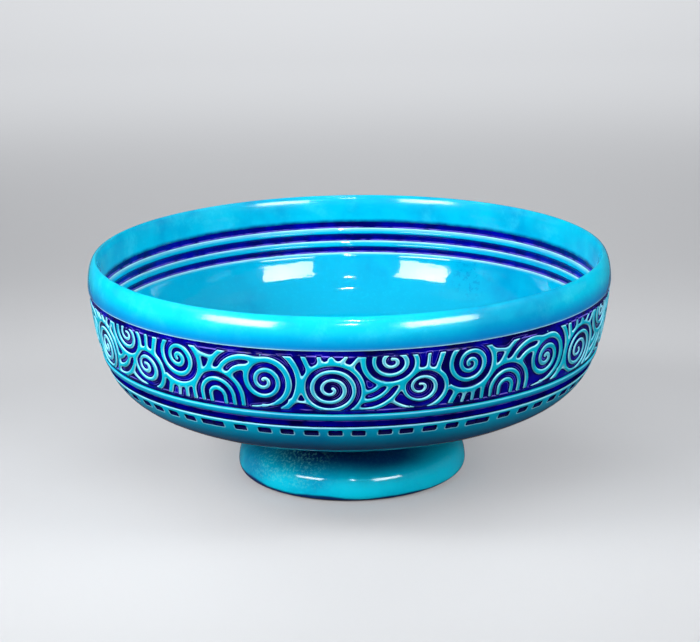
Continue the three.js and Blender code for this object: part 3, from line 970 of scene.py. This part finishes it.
def fan_field(x, down, at, radii, sector, width):
    """Arcs round one centre, drawn only within a sector. A single arc hides nothing."""
    reach, turns = polar(x, down, at)
    covered = within(turns, sector)
    nearest = np.min([np.abs(reach - radius) for radius in radii], axis=0)
    inside = (reach < radii[-1]) & covered & (len(radii) > 1)
    return (np.where(covered, nearest, far), width), inside


def ray_field(x, down, start, end, width):
    """A short straight line between two places."""
    first, last = (np.array((place[0] * degree, place[1])) for place in (start, end))
    along = last - first
    share = ((x - first[0]) * along[0] + (down - first[1]) * along[1]) / (along @ along)
    share = np.clip(share, 0, 1)
    distance = np.hypot(x - first[0] - share * along[0], down - first[1] - share * along[1])
    return (distance, width), False


# %% [markdown]
# The motifs are laid down in order, rays first and the large scroll last. Where two lines come
# near each other a soft web joins them, as glaze fills the corner between them.

# %% One field for the whole frieze
layers = [(ray_field, dict(start=start, end=end, width=width)) for start, end, width in rays]
layers += [(fan_field, motif) for motif in reversed(fans)]
layers += [(scroll_field, last_scroll), (arch_field, arch)]
layers += [(scroll_field, motif) for motif in (high_scroll, small_scroll, cut_scroll, large_scroll)]
print("motifs in a repeat:", len(layers))


def relief_field(x, down, repeat):
    """Signed distance to the edge of the raised lines, below 0 on a line, and the line's width."""
    drift, web, web_end, laid_low = 0.12, 2.0, 2.5, 0.5
    open_ground, usual_width = 9.0, 2.4
    drawn_x = x + drift * wander(x, down, 9, 1)
    drawn_down = down - laid_low + drift * wander(x, down, 9, 2)
    uneven = 0.1 * wander(x, down, 5, 3)
    edge, breadth = open_ground, usual_width
    for measure, motif in layers:
        for number in (repeat - 1, repeat, repeat + 1):
            shift = repeat_width * number + laid_off[number % repeats] * degree
            (distance, width), inside = measure(drawn_x - shift, drawn_down, **motif)
            own = distance - width / 2 - uneven
            mixed = np.clip(0.5 + (own - edge) / (2 * web), 0, 1)
            joined = own + (edge - own) * mixed - web * mixed * (1 - mixed)
            closest = np.minimum(own, edge)
            joined = np.where(closest > web_end, closest, joined)
            breadth = np.where(inside | (own < edge), width, breadth)
            edge = np.where(inside, own, joined)
    ends = np.maximum(border_top - 0.3 - down, down - border_bottom - 0.2)
    ends = ends + 0.12 * wander(x, down, 4, 9)
    return np.maximum(edge, ends), breadth


# %% [markdown]
# The field becomes a sheet with a soft, glazed ridge along each line. Its vertices are first
# drawn to the edges of the lines, so the change from cobalt to turquoise is crisp.

# %% Tools for sheets
def smooth_step(values, low, high):
    share = np.clip((values - low) / (high - low), 0, 1)
    return share * share * (3 - 2 * share)


def line_at(field, place, width):
    """1 where a field has a value, falling to 0 a width away from it."""
    return np.exp(-((field - place) / width) ** 2)


def cell_means(field):
    """The mean of a grid's values at the four corners of each cell."""
    return (field[:-1, :-1] + field[1:, :-1] + field[1:, 1:] + field[:-1, 1:]) / 4


# %% Vertices drawn to the edges of the lines
cell = 0.37
pull_reach = 0.45 * cell


def drawn_to_edges(x, down, repeat):
    """Moves the vertices near the edge of a raised line onto it."""
    field = relief_field(x, down, repeat)[0]
    slope_x, slope_down = np.gradient(field, cell)
    steep = slope_x ** 2 + slope_down ** 2
    near = (np.abs(field) < pull_reach) & (steep > 0.3)
    shift = np.where(near, -field / np.maximum(steep, 1), 0)
    shift[[0, -1]] = 0
    shift[:, [0, -1]] = 0
    return x + shift * slope_x, down + shift * slope_down


# %% One repeat of the frieze
relief_height = 0.95
relief_start = -16.0
ridge_top, ridge_foot = -0.55, 0.22
parted_at = 0.45
furthest = 3.0
crown_rise, meniscus_rise, border_rise, border_width = 0.1, 0.22, 0.4, 0.34
narrow, usual = 1.5, 2.1
border_stray = 0.18
run_length = 2.2


def frieze_sheet(repeat):
    """Places of a repeat's vertices, which cells are on a raised line, and what both sides of
    the parting carry for their finishes."""
    start = relief_start + repeat_width * repeat
    band = frieze_top - 0.5, frieze_bottom + 0.5
    x, down = np.meshgrid(
        np.linspace(start, start + repeat_width, round(repeat_width / cell) + 1),
        np.linspace(*band, round((band[1] - band[0]) / cell) + 1), indexing="ij")
    x, down = drawn_to_edges(x, down, repeat)
    field, breadth = relief_field(x, down, repeat)
    raised = 1 - smooth_step(field, ridge_top, ridge_foot)
    crown = crown_rise * np.clip(-field - 0.4, 0, 1)
    slim = smooth_step(-breadth, -usual, -narrow)
    upper = border_top + border_stray * wander(x, np.zeros_like(x), 12, 5)
    lower = border_bottom + 0.4 + border_stray * wander(x, np.zeros_like(x), 12, 6)
    border = np.minimum(np.abs(down - upper), np.abs(down - lower))
    meniscus = meniscus_rise * line_at(field, 0.25, 0.5)
    drawn_line = border_rise * line_at(border, 0, border_width)
    floor = ground_lift + drawn_line + meniscus + 0.04 * wander(x, down, 4, 7)
    height = relief_height * (1 - 0.12 * slim) + 0.05 * wander(x, down, 7, 4)
    lift = floor + (ground_lift + height - floor) * raised + crown
    foot = relief_field(x, np.full_like(x, border_bottom - 0.4), repeat)[0]
    run = 1 - smooth_step(down, border_bottom, border_bottom + run_length)
    run = (1 - smooth_step(foot, -0.8, 0.8)) * run
    edge = np.clip(field, -furthest, furthest)
    return np.stack([x, down, lift], -1), cell_means(field) < parted_at, {
        "edge": edge, "thin": slim * 0.4}, {
        "edge": edge, "border": np.minimum(border, furthest), "run": run * (down > border_bottom - 1)}


# %% [markdown]
# The sheet is parted at the foot of the ridges: raised lines on one side, cobalt ground on the
# other. Each side becomes a closed solid with a back of its own, which the wall hides.

# %% Closed sheets
def closed_part(grid_places, keep, back_lift, attributes):
    """The kept cells of a grid as a closed solid: front, a back at one lift, and side walls."""
    columns, lines = grid_places.shape[:2]
    numbers = np.arange(columns * lines).reshape(columns, lines)
    corners = np.stack([numbers[:-1, :-1], numbers[1:, :-1], numbers[1:, 1:], numbers[:-1, 1:]], -1)
    used, front = np.unique(corners[keep], return_inverse=True)
    front = front.reshape(-1, 4)
    places = grid_places.reshape(-1, 3)[used]
    behind = places.copy()
    behind[:, 2] = back_lift
    count = len(used)
    sides = np.concatenate([front[:, [k, (k + 1) % 4]] for k in range(4)]).astype(np.int64)
    ways, back_ways = sides @ [count, 1], sides @ [1, count]
    rim = sides[~np.isin(ways, back_ways)]
    walls = np.stack([rim[:, 1], rim[:, 0], rim[:, 0] + count, rim[:, 1] + count], -1)
    faces = np.concatenate([front, front[:, ::-1] + count, walls])
    carried = {name: np.tile(values.reshape(-1)[used], 2) for name, values in attributes.items()}
    return np.concatenate([places, behind]), faces, carried


# %% Frieze round the dish
for number in range(repeats):
    places, on_line, line_look, ground_look = frieze_sheet(number)
    relief = bent_sheet(
        f"frieze_scrolls_{number + 1}", *closed_part(places, on_line, ground_lift - 0.25, line_look),
        relief_glaze, "turquoise_glaze", [f"frieze_relief_{number + 1}"])
    ground = bent_sheet(
        f"frieze_ground_{number + 1}", *closed_part(places, ~on_line, ground_lift - 0.35, ground_look),
        ground_enamel, "cobalt_enamel", ["frieze_ground_enamel"])
    print(relief.name, len(relief.data.vertices), ground.name, len(ground.data.vertices))

# %% [markdown]
# The belly is a skin from the lower ring to the foot, with the row of sunk dashes cut into it.
# Twelve dashes go to a repeat. Each has its own width and tilt, and at a repeat's end two meet.

# %% Belly and dashes
dash_middle = 48.1
dash_height = 3.0
dash_width = 6.7
dash_turns = (-26.5, -20.9, -15.3, -10.2, -4.9, 0.2, 5.2, 10.8, 15.5, 20.6, 25.8, 30.6)
dash_corner = 0.45
dash_stray, dash_swell, dash_lean = 0.15, 0.2, 0.03
dash_depth = 1.15
dash_back = -1.7
belly_columns = 290
belly_back = -2.2
fine_row = 0.34
fine_end = 51.6
shoulder = 0.9
round_width = repeat_width * repeats
dash_hand = np.random.default_rng(11).uniform(-1, 1, (repeats, len(dash_turns), 4))


def dash_field(x, down):
    """Signed distance to the edge of the nearest dash, below 0 inside it."""
    nearest = np.full_like(x, far)
    for repeat in range(repeats):
        for turn, (shift, drop, size, tilt) in zip(dash_turns, dash_hand[repeat]):
            across = x - (turn + 360 / repeats * repeat) * degree - dash_stray * shift
            across = (across + round_width / 2) % round_width - round_width / 2
            fall = down - dash_middle - dash_stray * drop - dash_lean * tilt * across
            half_width = dash_width / 2 + dash_swell * size
            beyond = np.stack([np.abs(across) - half_width, np.abs(fall) - dash_height / 2]) + dash_corner
            outer = np.hypot(*np.maximum(beyond, 0))
            field = outer - dash_corner + np.minimum(np.max(beyond, axis=0), 0)
            nearest = np.minimum(nearest, field)
    return nearest


# %% The belly's sheets
def belly_grid(repeat):
    """Places of a repeat's vertices, which cells are on the skin, and what the skin carries.
    The rows lie close together only where the dashes are."""
    fine = np.arange(groove_bottom + 0.25, fine_end, fine_row)
    coarse = np.linspace(fine_end, wall_length - 0.2, 46)[1:]
    turns = (repeat + np.arange(belly_columns + 1) / belly_columns) * repeat_width
    x, down = np.meshgrid(turns, np.concatenate([fine, coarse]), indexing="ij")
    field = dash_field(x, down)
    sunk = 1 - smooth_step(field, -0.45, 0.25)
    ring = down - groove_bottom
    lift = 0.03 * wander(x, down, 11, 8) - dash_depth * sunk
    lift = lift - shoulder * (1 - smooth_step(ring, 0.0, shoulder))
    # The pale, thin-glazed edge of a dash is kept to its lower side, whose wall faces up to the light while
    # the upper edge lies in shade: partly a painted highlight.
    painted_lit_low_side = np.clip((down - dash_middle) / 1.2 + 0.7, 0.0, 1)
    thin = np.maximum(painted_lit_low_side * line_at(field, 0.35, 0.36), line_at(ring, 0.8, 0.36))
    edge = np.clip(np.maximum(0.3 - field, 0.5 - ring), -furthest, furthest)
    return np.stack([x, down, lift], -1), cell_means(field) > ridge_top, {"thin": thin, "edge": edge}


for number in range(repeats):
    places, on_skin, look = belly_grid(number)
    belly = bent_sheet(f"belly_{number + 1}", *closed_part(places, on_skin, belly_back, look),
                       belly_glaze, "turquoise_glaze", None)
    dashes = bent_sheet(f"dash_enamel_{number + 1}", *closed_part(places, ~on_skin, dash_back, {}),
                        matt_enamel, "cobalt_enamel", None)
    print(belly.name, len(belly.data.vertices), dashes.name, len(dashes.data.vertices))
bpy.data.objects.remove(wall_object)

# %% [markdown]
# The foot is a hollow pedestal: a fat roll to stand on, a waisted collar above it, and a ring of
# slip wiped smooth where it was luted to the bowl. Its bearing ring was wiped clean of glaze.

# %% Foot
foot_inner_top = 39.4
foot_outline = [
    (56.6, 0.0), (58.6, 0.4), (60.8, 1.4), (62.1, 3.0), (62.5, 5.2), (62.3, 8.0), (61.7, 11.0), (60.4, 14.0),
    (57.6, 17.0), (54.2, 20.0), (51.7, 23.2), (50.1, 26.6), (49.2, 30.0), (48.6, 32.4), (48.4, 33.2)]


def flowing(points, count=5):
    """A smooth line through points: between two, it follows the slopes of their neighbours."""
    points = np.array([points[0], *points, points[-1]])
    line = []
    for before, start, end, after in zip(points, points[1:], points[2:], points[3:]):
        for share in np.arange(count) / count:
            line.append(0.5 * (2 * start + (end - before) * share
                               + (2 * before - 5 * start + 4 * end - after) * share ** 2
                               + (3 * start - before - 3 * end + after) * share ** 3))
    return [(x, y, 0) for x, y in (*line, points[-1])]


foot_corners = [(51.8, 0, 0.8), *flowing(foot_outline), (foot_inner_top, 33.3, 0.3),
                (foot_inner_top, 25.3, 3), (50.3, 7.0, 3)]
turned("foot", foot_corners, 360, foot_glaze, ["pedestal_foot"],
       step=1.3, wave=0.0025)
turned("slip_ring", [
    (foot_inner_top, 33.2, 0), (48.1, 33.2, 0.2), (49.3, 33.7, 0.5), (53.5, 35.0, 0), (46.0, 34.5, 0),
    (foot_inner_top, 34.3, 0)], 240, foot_glaze, ["foot_luting_ring"])

# %% [markdown]
# A pale table and backdrop in one sweep. Both the paper and the room look pale but throw little
# light back, so their reflections don't grey the glaze.

# %% Paper
def looked_at(graph):
    """1 for what the camera sees, a tenth for what the glaze mirrors, 0 for bounced light."""
    camera_ray, glossy_ray, transmission_ray = (
        graph.node("ShaderNodeLightPath", output=number) for number in (0, 3, 6))
    return (camera_ray + transmission_ray + glossy_ray * 0.1).clamped()


def paper(name, seen_shade, bounce_shade, glow_shade):
    """A faint glow that only the camera sees keeps the paper pale away from the lamps."""
    material = bpy.data.materials.new(name)
    material.use_nodes = True
    graph = Graph(material.node_tree)
    graph.tree.nodes.clear()
    seen = looked_at(graph)
    shade = graph.blend(seen, (*bounce_shade, 1), (*seen_shade, 1))
    glow_colour = graph.blend(seen, (0, 0, 0, 1), (*glow_shade, 1))
    lit = graph.node("ShaderNodeBsdfDiffuse", None, {"Color": shade})
    glow = graph.node("ShaderNodeEmission", None, {"Color": glow_colour})
    surface = graph.node("ShaderNodeAddShader", None, {0: lit, 1: glow})
    output = graph.tree.nodes.new("ShaderNodeOutputMaterial")
    graph.tree.links.new(surface.socket, output.inputs[0])
    return material


# %% Table and backdrop
sweep_start, sweep_bend, sweep_top, sweep_half = -3.0, 1.6, 3.5, 4.0
bend_radius = 0.9
sweep_line = [(sweep_start, 0.0), (sweep_bend, 0.0)]
sweep_line += [(sweep_bend + bend_radius * math.sin(turn), bend_radius * (1 - math.cos(turn)))
               for turn in np.linspace(0, math.pi / 2, 13)[1:]]
sweep_line += [(sweep_bend + bend_radius, sweep_top)]
sweep = mesh_object(
    "paper_sweep", [(side * sweep_half, y, z) for y, z in sweep_line for side in (-1, 1)], [],
    [(2 * k, 2 * k + 1, 2 * k + 3, 2 * k + 2) for k in range(len(sweep_line) - 1)])
sweep.data.materials.append(paper(
    "paper_sweep", seen_shade=(0.36, 0.37, 0.38), bounce_shade=(0.05, 0.05, 0.06),
    glow_shade=(0.17, 0.17, 0.18)))
for polygon in sweep.data.polygons:
    polygon.use_smooth = True
print("paper sweep", len(sweep.data.polygons), "faces")

# %% [markdown]
# A softbox on either side of the camera gives the two reflections in the well, and a grid keeps
# it off the table. Each is two lamps: one lights, and one only shines in the glaze. Wide lamps
# at the sides and behind lighten the flanks, and a panel above stands for the room. Two small
# lamps in front only show as highlights. One more, behind the dish, evens out the backdrop.

# %% Lamps
dish_middle = (0, 0, 0.08)


def softbox(name, place, target, size, power, spread=180, mirrored=True, lights=True):
    """An area light at a place, turned to a target, with a grid that narrows its spread.
    One that is mirrored shows in the glaze, and one that lights also falls on dull surfaces."""
    data = bpy.data.lights.new(name, "AREA")
    data.shape = "RECTANGLE"
    data.size, data.size_y = size
    data.energy = power
    data.spread = math.radians(spread)
    lamp = bpy.data.objects.new(name, data)
    lamp.location = place
    lamp.rotation_euler = (Vector(target) - Vector(place)).to_track_quat("-Z", "Y").to_euler()
    lamp.visible_glossy = mirrored
    lamp.visible_diffuse = lights
    lamp.visible_camera = False
    scene.collection.objects.link(lamp)


def before_the_dish(azimuth, elevation, distance):
    """A place at an angle round from the camera's side and a height angle, both in degrees."""
    turn, rise = math.radians(azimuth), math.radians(elevation)
    return (distance * math.cos(rise) * math.sin(turn), -distance * math.cos(rise) * math.cos(turn),
            dish_middle[2] + distance * math.sin(rise))


for side, place, size, power, shine in (("right", (0.385, -0.555, 0.3), (0.34, 0.16), 0.57, 0.8),
                                        ("left", (-0.375, -0.404, 0.28), (0.28, 0.16), 0.68, 0.72)):
    softbox(f"softbox_{side}", place, dish_middle, size, power, spread=80, mirrored=False)
    nearer_place = tuple(0.98 * value for value in place)
    softbox(f"softbox_{side}_shine", nearer_place, dish_middle, size, shine, spread=80, lights=False)
for name, place, size, power, spread in (("side_right", (0.8, -0.3, 0.75), (0.5, 0.4), 0.7, 60),
                                         ("side_left", (-0.8, -0.3, 0.75), (0.5, 0.4), 1.15, 60),
                                         ("behind_right", (0.7, 0.9, 0.7), (0.6, 0.4), 0.9, 80),
                                         ("behind_left", (-0.7, 0.9, 0.7), (0.6, 0.4), 0.9, 80),
                                         ("room_panel", (0, -0.7, 1.75), (2.4, 1.2), 2.6, 70)):
    softbox(name, place, dish_middle, size, power, spread, mirrored=False)
for name, place, size, power in (("lamp_low", before_the_dish(0, 26, 1.5), (0.08, 0.04), 0.3),
                                 ("lamp_high", before_the_dish(2, 45, 1.5), (0.12, 0.05), 0.5)):
    softbox(name, place, dish_middle, size, power, spread=70, lights=False)
softbox("backdrop_light", (0, 0.9, 1.5), (0, 2.1, 0.4), (2.4, 0.3), 34, spread=130, mirrored=False)

# %% Room
world = bpy.data.worlds.new("room")
scene.world = world
world.use_nodes = True
sky = Graph(world.node_tree)
shade = sky.blend(looked_at(sky), (0.22, 0.22, 0.22, 1), (0.42, 0.43, 0.44, 1))
background = world.node_tree.nodes["Background"]
sky.tree.links.new(shade.socket, background.inputs[0])
background.inputs[1].default_value = 1.0
